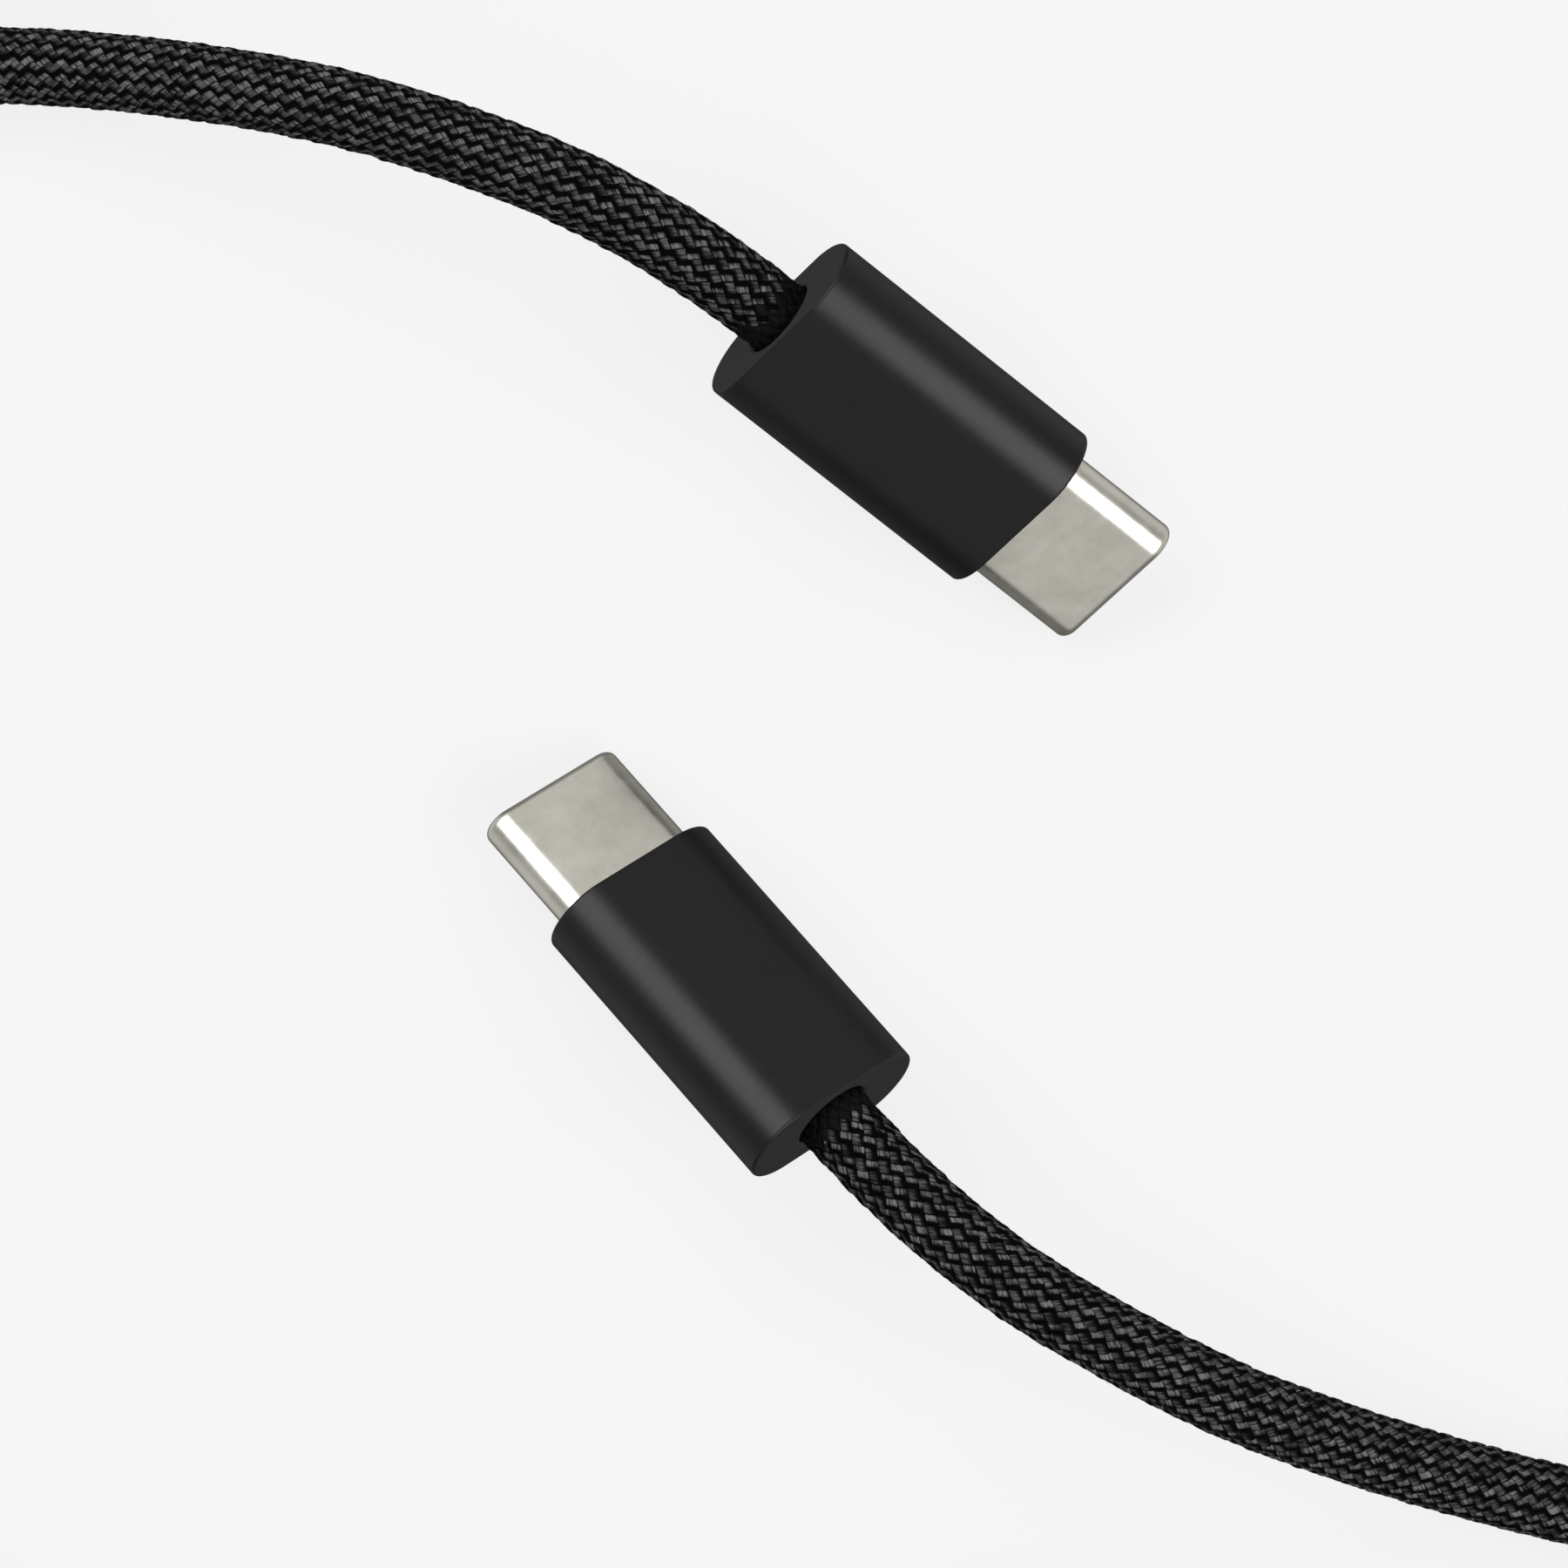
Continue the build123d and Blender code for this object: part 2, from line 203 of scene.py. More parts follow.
class Line:
    """The cord's centreline by length, with directions that turn as little as they can. It runs
    on straight past both ends by the spare length, and its length counts from the first end."""

    def __init__(self, points, spare):
        points = points[np.r_[True, np.linalg.norm(np.diff(points, axis=0), axis=1) > 1e-6]]
        back, on = points[0] - points[1], points[-1] - points[-2]
        first = points[0] + back / np.linalg.norm(back) * spare
        last = points[-1] + on / np.linalg.norm(on) * spare
        points = np.vstack([first, points, last])
        self.points = points
        steps = np.linalg.norm(np.diff(points, axis=0), axis=1)
        self.length = np.r_[0, np.cumsum(steps)] - spare
        ahead = np.gradient(points, self.length, axis=0)
        ahead /= np.linalg.norm(ahead, axis=1, keepdims=True)
        side = np.cross(ahead[0], (0, 0, 1))
        side /= np.linalg.norm(side)
        sides = [side]
        for before, now in zip(ahead, ahead[1:]):
            side = side - now * np.dot(side, now)
            side /= np.linalg.norm(side)
            sides.append(side)
        self.ahead, self.side = ahead, np.array(sides)

    def at(self, s):
        """The middle, and the directions ahead, to the side and up, at each length in s."""
        def read(values):
            return np.stack([np.interp(s, self.length, values[:, k]) for k in range(3)], axis=-1)

        middle, ahead, side = read(self.points), read(self.ahead), read(self.side)
        ahead /= np.linalg.norm(ahead, axis=-1, keepdims=True)
        side -= ahead * np.sum(side * ahead, axis=-1, keepdims=True)
        side /= np.linalg.norm(side, axis=-1, keepdims=True)
        return middle, ahead, side, np.cross(ahead, side)


# ---- mesh helpers ---------------------------------------------------------------------------
def mesh_object(name, points, faces, flat=(), fibre=None, crown=None):
    """A smooth-shaded mesh from points in millimetres. The faces in flat stay flat."""
    mesh = bpy.data.meshes.new(name)
    mesh.from_pydata([tuple(p) for p in points * MM], [], faces)
    shade = np.ones(len(faces), bool)
    shade[list(flat)] = False
    mesh.polygons.foreach_set("use_smooth", shade)
    if fibre is not None:
        layer = mesh.attributes.new("fibre", "FLOAT_VECTOR", "POINT")
        layer.data.foreach_set("vector", fibre.astype(np.float32).ravel())
        layer = mesh.attributes.new("crown", "FLOAT", "POINT")
        layer.data.foreach_set("value", crown.astype(np.float32).ravel())
    mesh.update()
    return link(bpy.data.objects.new(name, mesh))


def ring_faces(rings, sides, first=0, close=False):
    """Quads between rings of points, as vertex numbers, one row for each face."""
    last = rings if close else rings - 1
    r = np.arange(last)[:, None]
    c = np.arange(sides)[None, :]
    here, there = r * sides, ((r + 1) % rings) * sides
    ahead = (c + 1) % sides
    quads = np.stack(np.broadcast_arrays(here + c, here + ahead, there + ahead, there + c), axis=-1)
    return quads.reshape(-1, 4) + first


# ---- the braid ------------------------------------------------------------------------------
YARNS = 16
HELIX = 15.0
CROSSING = HELIX / (2 * YARNS)
YARN_W = 0.62
YARN_T = 0.28
# How far a yarn rises and sinks at its crossings, and how much the tops pass the cord's surface.
WEAVE = 0.118
PROUD = 0.03
BRAID_R = CORD_D / 2 - WEAVE - YARN_T / 2 + PROUD
SLANT = 2 * math.pi * BRAID_R / HELIX
# Below 1, a yarn stays up for longer at the top of a crossing.
LIFT_POWER = 0.75
WIDER_ON_TOP = 0.10
CORE_R = 1.40
# How far from a plug's end the yarns take the near-black material, and how much that varies: painted
# shade where the cord goes into the plug.
PLUG_SHADE_REACH = 1.3
PLUG_SHADE_VARIES = (0.6, 1.4)
INTO_PLUG = 1.0
# A yarn across, near a plug and further off: flat on top, with its sides drawn in below.
FINE = [(1, 0.0), (0.9, 0.78), (0.48, 1), (-0.48, 1), (-0.9, 0.78), (-1, 0.0), (0, -1.1)]
PLAIN = [(1, 0.1), (0.62, 1), (-0.62, 1), (-1, 0.1), (-0.6, -0.95), (0.6, -0.95)]
# How the painted highlight on a float lies, for each family: its lean, how sharp it is, its length.
PAINTED_HIGHLIGHT = {1: (math.radians(36), 1.0, -0.11), -1: (math.radians(40), 0.5, 0.38)}
PAINTED_HIGHLIGHT_VARIES = (-0.14, 0.10)
# Slow irregularities along a yarn: the lengths of their waves, and how strong they are.
WAVE_VARIES = (0.8, 1.25)
SWAY = ((3.1, 7.3), 0.022)
RISE_VARIES = ((1.7, 4.1), 0.3)
WIDTH_VARIES = ((2.3, 5.9), 0.06)
THICKNESS_VARIES = ((2.9, 4.7), 0.08)
# Sets the fibre pattern of each yarn apart from the next one's.
FIBRE_STEP = 1.37


def yarn_wave(rng, s, lengths, amount):
    """A slow, seeded irregularity along one yarn."""
    total = np.zeros_like(s)
    for length in lengths:
        wave = length * rng.uniform(*WAVE_VARIES)
        total += np.sin(2 * np.pi * s / wave + rng.uniform(0, 6.28))
    return total * amount / len(lengths)


def one_yarn(rng, s, path, steps, outline, way, index, lean):
    """One yarn of the braid: its points ring by ring, and how strong the painted highlight is on
    each ring's top.
    """
    middle, ahead, side, up = path
    angle = 2 * np.pi * index / YARNS + way * 2 * np.pi * s / HELIX
    angle = angle + yarn_wave(rng, s, *SWAY)
    lift = way * np.cos(np.pi * s / CROSSING)
    lift = np.sign(lift) * np.abs(lift) ** LIFT_POWER
    # A painted highlight on each float's top, leaned towards one end of it when lean is not 0.
    tilt, sharp, more = PAINTED_HIGHLIGHT[way]
    painted_highlight = sharp * way * np.cos(np.pi * s / CROSSING + lean * tilt) + more
    painted_highlight += np.interp(s, s[::steps], rng.uniform(*PAINTED_HIGHLIGHT_VARIES, len(s[::steps])))
    reach = BRAID_R + WEAVE * lift * (1 + yarn_wave(rng, s, *RISE_VARIES))
    out = np.cos(angle)[:, None] * side + np.sin(angle)[:, None] * up
    place = middle + reach[:, None] * out
    round_cord = np.cross(ahead, out)
    if steps > 1:
        along = np.gradient(place, s, axis=0)
    else:
        along = ahead + way * SLANT * round_cord
    along /= np.linalg.norm(along, axis=1, keepdims=True)
    over = out - along * np.sum(out * along, axis=1, keepdims=True)
    over /= np.linalg.norm(over, axis=1, keepdims=True)
    # Across a yarn is along the yarns it crosses, so that all its floats are rhombs.
    across = SLANT * round_cord - way * ahead
    across = across * math.hypot(1, SLANT) / (2 * SLANT)
    wide = YARN_W / 2 * (1 + WIDER_ON_TOP * lift + yarn_wave(rng, s, *WIDTH_VARIES))
    thick = YARN_T / 2 * (1 + yarn_wave(rng, s, *THICKNESS_VARIES))
    flat_x, flat_y = np.array(outline, float).T
    points = (place[:, None] + (wide[:, None] * flat_x)[..., None] * across[:, None]
              + (thick[:, None] * flat_y)[..., None] * over[:, None])
    return points, painted_highlight


def braid(name, line, first, last, steps, outline, seed, plug_ends=(), lean=0):
    """The 32 yarns between two crossings, counted along the cord, as one mesh, with each face's
    material: 1 near a plug's end, for painted shade where the cord goes into the plug. The painted
    highlights on the floats' tops lean back or ahead."""
    rng = np.random.default_rng(seed)
    s = np.linspace(first, last, (last - first) * steps + 1) * CROSSING
    path = line.at(s)
    rings, sides = len(s), len(outline)
    flat_x = [x for x, _ in outline]
    points, fibres, crowns, faces, caps, plug_shaded = [], [], [], [], [], []
    for way in (1, -1):
        for index in range(YARNS):
            yarn, painted_highlight = one_yarn(rng, s, path, steps, outline, way, index, lean)
            points.append(yarn.reshape(-1, 3))
            # The crown attribute carries the painted highlight to the material.
            crowns.append(np.repeat(painted_highlight, sides))
            # A fibre's place: across its yarn, along it, and a number of the yarn's own.
            fibres.append(np.stack([
                np.tile(flat_x, rings), np.repeat(s, sides),
                np.full(rings * sides, way * (index + 1) * FIBRE_STEP)], axis=-1))
            start = len(caps) // 2 * rings * sides
            end = start + rings * sides
            faces.append(ring_faces(rings, sides, start))
            caps += [list(range(start, start + sides)), list(range(end - 1, end - sides - 1, -1))]
            reached = PLUG_SHADE_REACH * rng.uniform(*PLUG_SHADE_VARIES)
            near_end = np.zeros(rings - 1, int)
            for plug_end in plug_ends:
                near_end |= (np.abs(s[:-1] - plug_end) < reached).astype(int)
            plug_shaded.append(np.repeat(near_end, sides))
    quads = np.vstack(faces)[:, ::-1].tolist()
    flat = range(len(quads), len(quads) + len(caps))
    piece = mesh_object(name, np.vstack(points), quads + caps, flat,
                        np.vstack(fibres), np.concatenate(crowns))
    return piece, np.r_[np.concatenate(plug_shaded), np.zeros(len(caps), int)]


# ---- oval pieces ----------------------------------------------------------------------------
HOUSING_W, HOUSING_T, HOUSING_L = 10.2, 5.25, 16.0
HOUSING_WALL, REAR_WALL, EDGE_ROUND = 0.7, 1.2, 0.15
CABLE_HOLE_R = 2.0
SHELL_W, SHELL_T, SHELL_OUT, SHELL_IN = 8.25, 2.4, 6.6, 5.0
SHELL_WALL, LIP_WALL, LIP_L, LIP_ROUND = 0.3, 0.5, 0.6, 0.42
ARC_POINTS = 33
FLAT_POINTS = 15


def oval_loop(width, thickness, inset, y):
    """Points round an oval across the plug, the same number whatever its size."""
    radius, half = thickness / 2 - inset, (width - thickness) / 2
    turn = np.linspace(-np.pi / 2, np.pi / 2, ARC_POINTS)
    flat = np.linspace(half, -half, FLAT_POINTS + 2)[1:-1]
    x = np.r_[half + radius * np.cos(turn), flat, -half - radius * np.cos(turn), -flat]
    z = np.r_[radius * np.sin(turn), np.full(FLAT_POINTS, radius),
              -radius * np.sin(turn), np.full(FLAT_POINTS, -radius)]
    return np.stack([x, np.full_like(x, y), z], axis=-1)


def round_loop(radius, y, like):
    """Points round a circle, each in the direction of the same point of another loop."""
    angle = np.arctan2(like[:, 2], like[:, 0])
    height = np.full_like(angle, y)
    return np.stack([radius * np.cos(angle), height, radius * np.sin(angle)], axis=-1)


def corner(radius, start, end, count=7):
    """(how far in, how far back) round a quarter circle, for a rounded rim."""
    turn = np.linspace(math.radians(start), math.radians(end), count)
    return [(radius * (1 - math.cos(t)), radius * (1 - math.sin(t))) for t in turn]


# In both pieces below, a loop is (how far in from the outline, place along the plug). They follow
# one another round the wall's section, and loops close to an edge keep it crisp.
def housing_loops():
    back, fine, wall, hole = -HOUSING_L, 0.06, HOUSING_WALL, CABLE_HOLE_R
    inner = back + REAR_WALL
    edge = EDGE_ROUND
    rear_edge = [(i, back + b) for i, b in corner(edge, 90, 0)]
    outside = [(0, back + edge + fine), (0, back + 2), (0, back + 5), (0, -8), (0, -5), (0, -2),
               (0, -edge - fine)]
    front_edge = [(i, -b) for i, b in corner(edge, 0, 90)]
    front = [(edge + fine, 0), (wall - 0.1, 0), (wall - 0.05, -0.015), (wall, -0.06), (wall, -0.12)]
    inside = [(wall, -2), (wall, inner + 0.1), (wall, inner), (wall + 0.1, inner)]
    # The cord's hole, with a softened rear edge: (radius, place along the plug).
    through = [(hole + 0.1, inner), (hole, inner), (hole, inner - 0.1), (hole, back + 0.25),
               (hole + 0.03, back + 0.12), (hole + 0.09, back + 0.04), (hole + 0.18, back),
               (hole + 0.26, back)]
    rear = [(edge + fine, back)]
    rim = oval_loop(HOUSING_W, HOUSING_T, edge, back)
    wall_loops = rear_edge + outside + front_edge + front + inside
    return ([oval_loop(HOUSING_W, HOUSING_T, i, y) for i, y in wall_loops]
            + [round_loop(radius, y, rim) for radius, y in through]
            + [oval_loop(HOUSING_W, HOUSING_T, i, y) for i, y in rear])


def shell_loops():
    tip, back, fine = SHELL_OUT, -SHELL_IN, 0.05
    mouth_end = tip - LIP_L
    rear = [(SHELL_WALL, back), (fine, back)]
    outside = [(0, back + fine), (0, -2), (0, 0), (0, 2), (0, 4), (0, tip - LIP_ROUND - fine)]
    rim = [(i, tip - b) for i, b in corner(LIP_ROUND, 0, 90)]
    lip = [(LIP_WALL - 0.03, tip), (LIP_WALL, tip - 0.03), (LIP_WALL, mouth_end + 0.05),
           (LIP_WALL - 0.02, mouth_end)]
    inside = [(SHELL_WALL, mouth_end), (SHELL_WALL, tip - 2), (SHELL_WALL, 0), (SHELL_WALL, -2)]
    return [oval_loop(SHELL_W, SHELL_T, i, y) for i, y in rear + outside + rim + lip + inside]


def lofted(name, loops, place):
    """A closed skin over loops in a plug's own frame, put in its place."""
    points = np.array(loops)
    rings, sides = points.shape[:2]
    turn = np.array(place.to_3x3())
    world = points.reshape(-1, 3) @ turn.T + np.array(place.translation)
    faces = ring_faces(rings, sides, close=True)[:, ::-1]
    return mesh_object(name, world, faces.tolist())


# ---- the hank's tie -------------------------------------------------------------------------
TIE_W, TIE_T = 10.0, 0.9
# How far its edges are rounded, and the step half way round them.
TIE_EDGE, TIE_CUT = 0.22, 0.06
# Its inside clears the four cords at the waist: to the side, and up or down from their middle.
TIE_REACH = OUTER - HANK_WAIST + CORD_D / 2 + 0.3
TIE_HALF_H = CORD_D + 0.05
TIE_CORNER = 2.0
TIE_ROWS = 160
TIE_SWAY = ((9.0, 17.0), 0.08)


def tie_path(shares):
    """The strap's inner path across the cord: points, outward directions and distances, at
    shares of the way round. It starts at the top of the right side and goes to the left."""
    right, top = TIE_REACH - TIE_CORNER, TIE_HALF_H - TIE_CORNER
    # Each straight: its start, its direction, its length and the middle of the corner after it.
    straights = (
        ((right, TIE_HALF_H), (-1, 0), 2 * right, (-right, top)),
        ((-TIE_REACH, top), (0, -1), 2 * top, (-right, -top)),
        ((-right, -TIE_HALF_H), (1, 0), 2 * right, (right, -top)),
        ((TIE_REACH, -top), (0, 1), 2 * top, (right, top)),
    )
    bend = np.pi * TIE_CORNER / 2
    around = 2 * (2 * right + 2 * top) + 4 * bend
    points, outward = [], []
    for distance in np.mod(shares, 1.0) * around:
        for (x, z), (ahead_x, ahead_z), length, (mid_x, mid_z) in straights:
            if distance <= length:
                points.append((x + ahead_x * distance, z + ahead_z * distance))
                outward.append((ahead_z, -ahead_x))
                break
            distance -= length
            if distance <= bend:
                angle = math.atan2(-ahead_x, ahead_z) + distance / TIE_CORNER
                outward.append((math.cos(angle), math.sin(angle)))
                points.append((mid_x + TIE_CORNER * outward[-1][0],
                               mid_z + TIE_CORNER * outward[-1][1]))
                break
            distance -= bend
    return np.array(points), np.array(outward), shares * around


def strap(name, start, stop, outside, seed):
    """A soft strap round the hank's waist, from one share of the way round to another, and how
    far outside the tie's path."""
    centre, outward, distance = tie_path(np.linspace(start, stop, TIE_ROWS))
    half = TIE_W / 2
    lower = [(-half + TIE_EDGE, 0), (-half / 2, 0), (0, 0), (half / 2, 0), (half - TIE_EDGE, 0),
             (half - TIE_CUT, TIE_CUT), (half, TIE_EDGE), (half, TIE_T - TIE_EDGE),
             (half - TIE_CUT, TIE_T - TIE_CUT)]
    across, height = np.array(lower + [(-x, TIE_T - h) for x, h in lower]).T
    sides = len(across)
    sway = yarn_wave(np.random.default_rng(seed), distance, *TIE_SWAY)
    x = HANK_CENTRE[0] + across + sway[:, None]
    far = outside + height
    y = HANK_CENTRE[1] + centre[:, 0, None] + outward[:, 0, None] * far
    z = TIE_HALF_H + TIE_T + centre[:, 1, None] + outward[:, 1, None] * far
    faces = ring_faces(TIE_ROWS, sides).tolist()
    caps = [list(range(sides))[::-1], list(range((TIE_ROWS - 1) * sides, TIE_ROWS * sides))]
    return mesh_object(name, np.stack([x, y, z], axis=-1).reshape(-1, 3), faces + caps,
                       (len(faces), len(faces) + 1))


# ---- materials ------------------------------------------------------------------------------
class Recipes:
    """The few node recipes that the materials and the world are made from. Each one adds its
    nodes and gives back the socket that holds the result."""

    def __init__(self, tree, shader, place):
        self.tree = tree
        self.shader = tree.nodes[shader]
        self.place = self.node("ShaderNodeTexCoord").outputs[place]

    def node(self, kind, **values):
        made = self.tree.nodes.new(kind)
        for key, value in values.items():
            setattr(made, key, value)
        return made

    def join(self, start, end):
        self.tree.links.new(start, end)

    def split(self, source):
        made = self.node("ShaderNodeSeparateXYZ")
        self.join(source, made.inputs["Vector"])
        return made.outputs

    def noise(self, scale, detail=3.0, rough=0.55, source=None, stretch=None):
        made = self.node("ShaderNodeTexNoise")
        made.inputs["Scale"].default_value = scale
        made.inputs["Detail"].default_value = detail
        made.inputs["Roughness"].default_value = rough
        source = source or self.place
        if stretch:
            mapping = self.node("ShaderNodeMapping")
            mapping.inputs["Scale"].default_value = stretch
            self.join(source, mapping.inputs["Vector"])
            source = mapping.outputs["Vector"]
        self.join(source, made.inputs["Vector"])
        return made.outputs["Fac"]

    def ramp(self, source, stops):
        made = self.node("ShaderNodeValToRGB")
        while len(made.color_ramp.elements) < len(stops):
            made.color_ramp.elements.new(0.5)
        for element, (where, colour) in zip(made.color_ramp.elements, stops):
            element.position = where
            element.color = (*colour, 1)
        self.join(source, made.inputs["Fac"])
        return made.outputs["Color"]

    def spread(self, source, low, high, start=0.3, end=0.7, way="LINEAR"):
        """Source from start to end, mapped to low to high."""
        made = self.node("ShaderNodeMapRange", interpolation_type=way)
        for key, value in zip(("From Min", "From Max", "To Min", "To Max"),
                              (start, end, low, high)):
            made.inputs[key].default_value = value
        self.join(source, made.inputs["Value"])
        return made.outputs["Result"]

    def maths(self, kind, first, second):
        made = self.node("ShaderNodeMath", operation=kind)
        for socket, value in zip(made.inputs, (first, second)):
            if isinstance(value, (int, float)):
                socket.default_value = value
            else:
                self.join(value, socket)
        return made.outputs["Value"]

    def bump(self, height, strength, distance, before=None):
        made = self.node("ShaderNodeBump")
        made.inputs["Strength"].default_value = strength
        made.inputs["Distance"].default_value = distance
        self.join(height, made.inputs["Height"])
        if before:
            self.join(before, made.inputs["Normal"])
        return made.outputs["Normal"]

    def out(self, socket, source):
        self.join(source, self.shader.inputs[socket])


class Paint(Recipes):
    """A Principled material. What is the same all over is fixed on the shader itself."""

    def __init__(self, name, **fixed):
        self.material = bpy.data.materials.new(name)
        self.material.use_nodes = True
        super().__init__(self.material.node_tree, "Principled BSDF", "Object")
        for socket, value in fixed.items():
            self.shader.inputs[socket.replace("_", " ")].default_value = value


# How deep the finest grain is, in metres.
GRAIN = 0.00002


def grey(value):
    return (value, value, value)


def simple_paint(name, dark, light, rough, metallic=0.0, scale=900, grain=0.15, **fixed):
    """A plain finish with fine grain in its colour, roughness and surface."""
    paint = Paint(name, Metallic=metallic, **fixed)
    cloud = paint.noise(scale, 4)
    paint.out("Base Color", paint.ramp(cloud, [(0.3, dark), (0.7, light)]))
    paint.out("Roughness", paint.spread(paint.noise(scale * 0.4, 3), rough - 0.05, rough + 0.07))
    paint.out("Normal", paint.bump(paint.noise(scale * 3, 2), grain, GRAIN))
    return paint.material


def braid_paint():
    """Black polyester yarn with light and shade painted into its colour: a painted highlight where a
    yarn crosses over, painted shade at its sides, and fine filaments along it. The two families of
    yarns are painted a little lighter and darker, as they face the light differently."""
    paint = Paint("braid_yarn", Specular_IOR_Level=0.03)
    fibre = paint.node("ShaderNodeAttribute", attribute_name="fibre").outputs["Vector"]
    crown = paint.node("ShaderNodeAttribute", attribute_name="crown").outputs["Fac"]
    strands = paint.noise(1.0, 2, 0.6, fibre, (4.2, 0.9, 1.0))
    frays = paint.noise(1.0, 3, 0.6, fibre, (2.2, 2.6, 1.0))
    patches = paint.noise(1100, 2, 0.5)
    across, _, family = paint.split(fibre)
    # Painted shade at each yarn's sides.
    sides = paint.spread(paint.maths("ABSOLUTE", across, 0.0), 1.0, 0.0, 0.70, 0.94)
    both = paint.maths("ADD", paint.maths("MULTIPLY", strands, 0.72),
                       paint.maths("MULTIPLY", frays, 0.28))
    # A painted highlight where the crown attribute says a float's top is lit.
    edge = paint.maths("ADD", crown, paint.spread(frays, -0.09, 0.09))
    top = paint.spread(edge, 0.0, 1.0, 0.46, 0.80)
    shine = paint.maths("MULTIPLY", top, paint.spread(both, 0.35, 1.15, 0.38, 0.60))
    shine = paint.maths("MULTIPLY", shine, paint.spread(patches, 0.62, 1.25))
    shine = paint.maths("MULTIPLY", shine, sides)
    # One family of yarns is painted darker than the other, as if it faced the light less.
    shine = paint.maths("MULTIPLY", shine, paint.spread(family, 0.72, 1.05, -0.5, 0.5))
    paint.out("Base Color", paint.ramp(shine, [
        (0.0, (0.0004, 0.0004, 0.0005)), (0.25, (0.007, 0.0068, 0.0070)),
        (0.65, (0.055, 0.0530, 0.0540)), (1.0, (0.120, 0.115, 0.118))]))
    paint.out("Roughness", paint.spread(shine, 0.70, 0.34, 0.0, 0.6))
    first = paint.bump(strands, 0.8, 0.00005)
    paint.out("Normal", paint.bump(frays, 0.4, 0.00004, first))
    return paint.material


def housing_paint():
    """Satin black moulded plastic with a fine spark texture."""
    paint = Paint("housing_satin", Specular_IOR_Level=0.29)
    cloud = paint.noise(120, 3)
    speck = paint.noise(9000, 2)
    paint.out("Base Color", paint.ramp(cloud, [
        (0.3, (0.0024, 0.0024, 0.0025)), (0.7, (0.0036, 0.0035, 0.0036))]))
    rough = paint.maths("ADD", paint.spread(cloud, 0.40, 0.44), paint.spread(speck, -0.02, 0.02))
    paint.out("Roughness", rough)
    paint.out("Normal", paint.bump(speck, 0.10, GRAIN))
    return paint.material


def steel_paint(name, rough):
    """Satin stainless steel with the faint clouding and rubs of a used plug."""
    paint = Paint(name, Metallic=1.0)
    cloud = paint.noise(340, 4, 0.55)
    rub = paint.noise(1300, 3, 0.6)
    tone = paint.maths("ADD", paint.maths("MULTIPLY", cloud, 0.6),
                       paint.maths("MULTIPLY", rub, 0.4))
    paint.out("Base Color", paint.ramp(tone, [
        (0.38, (0.635, 0.625, 0.555)), (0.5, (0.70, 0.685, 0.61)), (0.62, (0.745, 0.73, 0.66))]))
    paint.out("Roughness", paint.spread(tone, rough - 0.04, rough + 0.06))
    paint.out("Normal", paint.bump(cloud, 0.02, GRAIN))
    return paint.material


def tie_paint():
    """Black hook-and-loop tape: a mat of small loops on a woven ground."""
    paint = Paint("tie_loops", Specular_IOR_Level=0.08, Sheen_Weight=0.10, Sheen_Roughness=0.5)
    cells = paint.node("ShaderNodeTexVoronoi")
    cells.inputs["Scale"].default_value = 2300
    paint.join(paint.place, cells.inputs["Vector"])
    mat = paint.noise(2600, 4, 0.75)
    loops = paint.maths("ADD", paint.maths("MULTIPLY", cells.outputs["Distance"], 0.5), mat)
    paint.out("Base Color", paint.ramp(loops, [
        (0.55, grey(0.0025)), (0.8, grey(0.011)), (1.0, grey(0.032))]))
    paint.out("Roughness", paint.spread(mat, 0.75, 0.95))
    first = paint.bump(cells.outputs["Distance"], 1.0, 0.00025)
    paint.out("Normal", paint.bump(mat, 1.0, 0.0002, first))
    return paint.material


PAINTS = {
    "collar": simple_paint("collar_plastic", grey(0.006), grey(0.010), 0.5),
    "insulator": simple_paint("insulator_plastic", grey(0.008), grey(0.014), 0.45),
    "gold": simple_paint("contact_gold", (0.86, 0.58, 0.22), (0.95, 0.68, 0.30), 0.24, 1.0),
    "spring": simple_paint("spring_steel", grey(0.5), grey(0.62), 0.3, 1.0),
    "board": simple_paint("board_resin", (0.006, 0.035, 0.016), (0.010, 0.055, 0.024), 0.4),
    "chip": simple_paint("chip_epoxy", grey(0.012), grey(0.022), 0.6),
    "passive": simple_paint("passive_ceramic", (0.28, 0.18, 0.10), (0.36, 0.24, 0.14), 0.5),
    "solder": simple_paint("solder_tin", grey(0.62), grey(0.74), 0.28, 1.0),
    "brass": simple_paint("ferrule_brass", (0.62, 0.44, 0.18), (0.74, 0.54, 0.24), 0.3, 1.0),
    "jacket": simple_paint("inner_jacket", grey(0.010), grey(0.016), 0.55),
    "mould": simple_paint("mould_filling", (0.42, 0.41, 0.38), (0.50, 0.49, 0.46), 0.6),
    "red": simple_paint("wire_red", (0.42, 0.015, 0.012), (0.52, 0.022, 0.018), 0.4),
    "green": simple_paint("wire_green", (0.015, 0.22, 0.05), (0.02, 0.30, 0.07), 0.4),
    "white": simple_paint("wire_white", grey(0.66), grey(0.76), 0.4),
    "dark": simple_paint("wire_dark", grey(0.012), grey(0.02), 0.4),
    "blue": simple_paint("wire_blue", (0.014, 0.05, 0.36), (0.02, 0.07, 0.46), 0.4),
    "shield": steel_paint("shield_steel", 0.34),
    # The cord's inside is a real part, made darker than its jacket so that it also paints the shade
    # in the braid's gaps.
    "core": simple_paint("cord_inside", grey(0.0025), grey(0.004), 0.8),
}
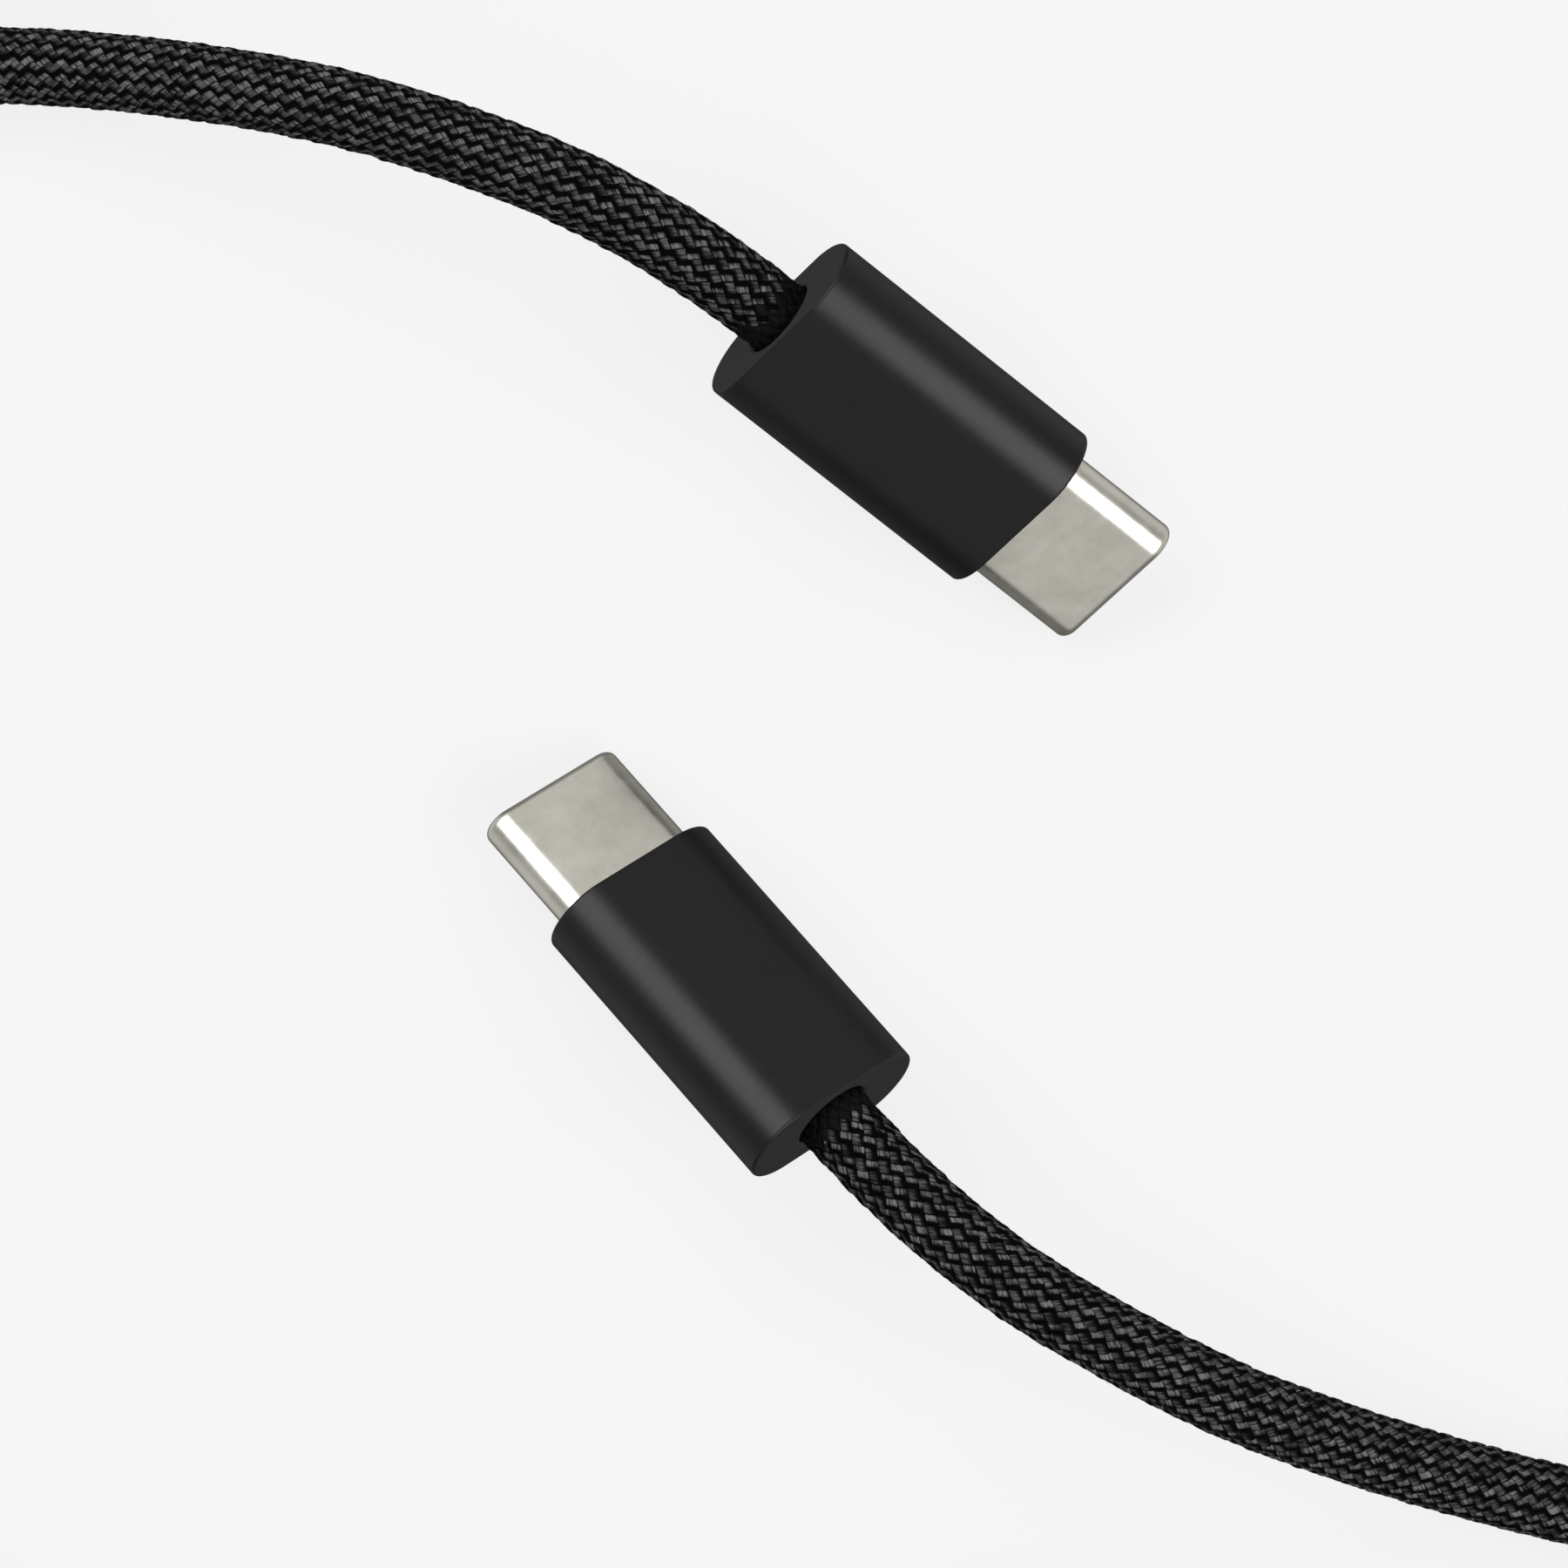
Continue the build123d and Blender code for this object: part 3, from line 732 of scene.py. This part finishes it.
NODE_PAINT = {
    "front_collar": "collar", "front_insulator": "insulator", "contact_holder": "insulator",
    "upper_contacts": "gold", "lower_contacts": "gold",
    "left_latch": "spring", "right_latch": "spring",
    "upper_ground_spring": "spring", "lower_ground_spring": "spring",
    "circuit_board": "board", "marker_chip": "chip", "board_passives": "passive",
    "solder_joints": "solder", "upper_shield": "shield", "lower_shield": "shield",
    "upper_inner_mould": "mould", "lower_inner_mould": "mould",
    "crimp_ferrule": "brass", "cable_jacket_end": "jacket",
    "wire_power": "red", "wire_ground": "dark", "wire_data_plus": "green",
    "wire_data_minus": "white", "wire_control": "blue",
}


def paint_piece(obj, material):
    obj.data.materials.clear()
    obj.data.materials.append(material)


# ---- making everything ----------------------------------------------------------------------
core = cord_curve("cord_core", CORE_R)
line = Line(line_points(), INTO_PLUG + CROSSING)
total = line.length[-1] - INTO_PLUG - CROSSING
yarn = braid_paint()
# Near-black yarns where the cord goes into a plug: painted shade.
plug_shade = simple_paint("braid_painted_plug_shade", grey(0.001), grey(0.003), 0.65, Specular_IOR_Level=0.06)
paint_piece(core, PAINTS["core"])

# The braid near the plugs is finer than the stretches between. All ends are at crossings.
NEAR = 50.0
NEAR_STEPS, STRETCH_STEPS = 4, 1
STRETCHES = 5
near = int(NEAR / CROSSING)
start = -int(INTO_PLUG / CROSSING)
stop = int((total + INTO_PLUG) / CROSSING)
breaks = [int(round(v)) for v in np.linspace(near, stop - near, STRETCHES + 1)]
made = [braid("braid_by_plug_a", line, start, near, NEAR_STEPS, FINE, 11, (0.0,), 1)]
for number, (low, high) in enumerate(zip(breaks, breaks[1:])):
    made.append(braid(
        f"braid_stretch_{number + 1}", line, low, high, STRETCH_STEPS, PLAIN, 20 + number))
made.append(braid("braid_by_plug_b", line, stop - near, stop, NEAR_STEPS, FINE, 12, (total,), -1))
braids = [piece for piece, _ in made]
for piece, plug_shaded in made:
    paint_piece(piece, yarn)
    # Faces near a plug's end take the painted shade.
    if plug_shaded.any():
        piece.data.materials.append(plug_shade)
        piece.data.polygons.foreach_set("material_index", plug_shaded)

satin = housing_paint()
steel = steel_paint("shell_steel", 0.30)
for letter, (front, heading) in PLUGS.items():
    place = plug_matrix(front, heading)
    body = lofted(f"plug_{letter}_satin_housing", housing_loops(), place)
    tube = lofted(f"plug_{letter}_steel_shell", shell_loops(), place)
    for piece, material, node, slot in (
        (body, satin, "housing", "housing_plastic"), (tube, steel, "connector_shell", "shell_steel"),
    ):
        paint_piece(piece, material)
        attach(piece, "root")
        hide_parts(f"plug_{letter}_{node}")
    for node, paint in NODE_PAINT.items():
        paint_piece(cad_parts[f"plug_{letter}_{node}"], PAINTS[paint])

tape = tie_paint()
tie = strap("hank_strap", 0.0, 1.0, 0.0, seed=31)
tie_end = strap("hank_strap_end", 0.02, 0.36, TIE_T, seed=32)
for piece in (tie, tie_end):
    paint_piece(piece, tape)
    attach(piece, "root")
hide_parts("hank_tie")

# Neither the cord nor the floor is mirrored in the plugs, which show the plain room only.
core.visible_glossy = False
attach(core, "root")
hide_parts("cord_from_plug_a", "cord_from_plug_b", "cord_hank")
for piece in braids:
    piece.visible_glossy = False
    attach(piece, "root")

# ---- floor, light ---------------------------------------------------------------------------
FLOOR_SIZE = 3.0
FLOOR_GREY = 0.08
FLOOR_GLOW = 0.803


def floor_paint():
    """A plain pale board that glows a little, so that shadows on it stay faint."""
    material = bpy.data.materials.new("floor_paint")
    material.use_nodes = True
    inputs = material.node_tree.nodes["Principled BSDF"].inputs
    inputs["Base Color"].default_value = (*grey(FLOOR_GREY), 1)
    inputs["Roughness"].default_value = 0.9
    inputs["Specular IOR Level"].default_value = 0.0
    inputs["Emission Color"].default_value = (1, 1, 1, 1)
    inputs["Emission Strength"].default_value = FLOOR_GLOW
    return material


half = FLOOR_SIZE / 2
floor_mesh = bpy.data.meshes.new("floor")
floor_mesh.from_pydata(
    [(-half, -half, 0), (half, -half, 0), (half, half, 0), (-half, half, 0)], [], [(0, 1, 2, 3)])
floor = link(bpy.data.objects.new("floor", floor_mesh))
paint_piece(floor, floor_paint())
floor.visible_glossy = False
floor.visible_diffuse = False

# In metres and watts.
BOX_DISTANCE = 0.6
BOX_SIZE = (0.60, 0.28)
BOX_POWER = 3.2


def soft_box(name, towards, along):
    """A large square-edged soft light that faces the plugs from the given direction, with its
    long side along another."""
    data = bpy.data.lights.new(name, "AREA")
    data.shape = "RECTANGLE"
    data.size, data.size_y = BOX_SIZE
    data.energy = BOX_POWER
    box = link(bpy.data.objects.new(name, data))
    back = Vector(towards).normalized()
    wide = Vector(along)
    wide = (wide - back * wide.dot(back)).normalized()
    box.matrix_world = Matrix((wide, back.cross(wide), back)).transposed().to_4x4()
    box.location = back * BOX_DISTANCE


# The two big soft boxes stand opposite each other. Each lights one plug's upper rounding.
soft_box("soft_box_right", (0.490, -0.372, 0.788), (0.70, 0.82, 0.16))
soft_box("soft_box_left", (-0.411, 0.458, 0.788), (-0.83, -0.67, 0.16))

# Brightness of the room by height (the sine of the elevation), towards the boxes' ends and
# towards the sides: darker below the horizon in front and behind, paler at the sides.
ROOM_ENDS = [(-1.0, 0.12), (-0.7, 0.20), (-0.02, 0.20), (0.14, 0.42), (0.28, 0.70), (0.45, 0.62),
             (0.7, 0.3), (1.0, 0.3)]
ROOM_SIDES = [(-1.0, 0.12), (-0.77, 0.15), (-0.6, 0.62), (0.0, 0.66), (0.14, 0.52), (0.40, 0.34),
              (0.7, 0.3), (1.0, 0.3)]
ROOM_TINT = (1.0, 0.995, 0.98)
# Where the ends pass into the sides: x squared over x squared plus y squared.
SIDES_FROM, SIDES_TO = 0.28, 0.60
# The strength of it all towards -Y and towards +Y.
FRONT_TO_BACK = (0.90, 1.13)


def studio_world():
    """A plain room whose brightness depends only on the direction."""
    world = bpy.data.worlds.new("studio")
    bpy.context.scene.world = world
    world.use_nodes = True
    room = Recipes(world.node_tree, "Background", "Generated")
    x, y, z = room.split(room.place)
    height = room.spread(z, 0.0, 1.0, -1.0, 1.0)
    ends, sides = (
        room.ramp(height, [((level + 1) / 2, [value * tint for tint in ROOM_TINT])
                           for level, value in stops])
        for stops in (ROOM_ENDS, ROOM_SIDES))
    x_square, y_square = (room.maths("POWER", axis, 2.0) for axis in (x, y))
    share = room.maths("DIVIDE", x_square, room.maths("ADD", x_square, y_square))
    mix = room.node("ShaderNodeMixRGB")
    room.join(room.spread(share, 0.0, 1.0, SIDES_FROM, SIDES_TO, "SMOOTHSTEP"), mix.inputs["Fac"])
    room.join(ends, mix.inputs["Color1"])
    room.join(sides, mix.inputs["Color2"])
    room.out("Color", mix.outputs["Color"])
    room.out("Strength", room.spread(y, *FRONT_TO_BACK, -1.0, 1.0))


studio_world()
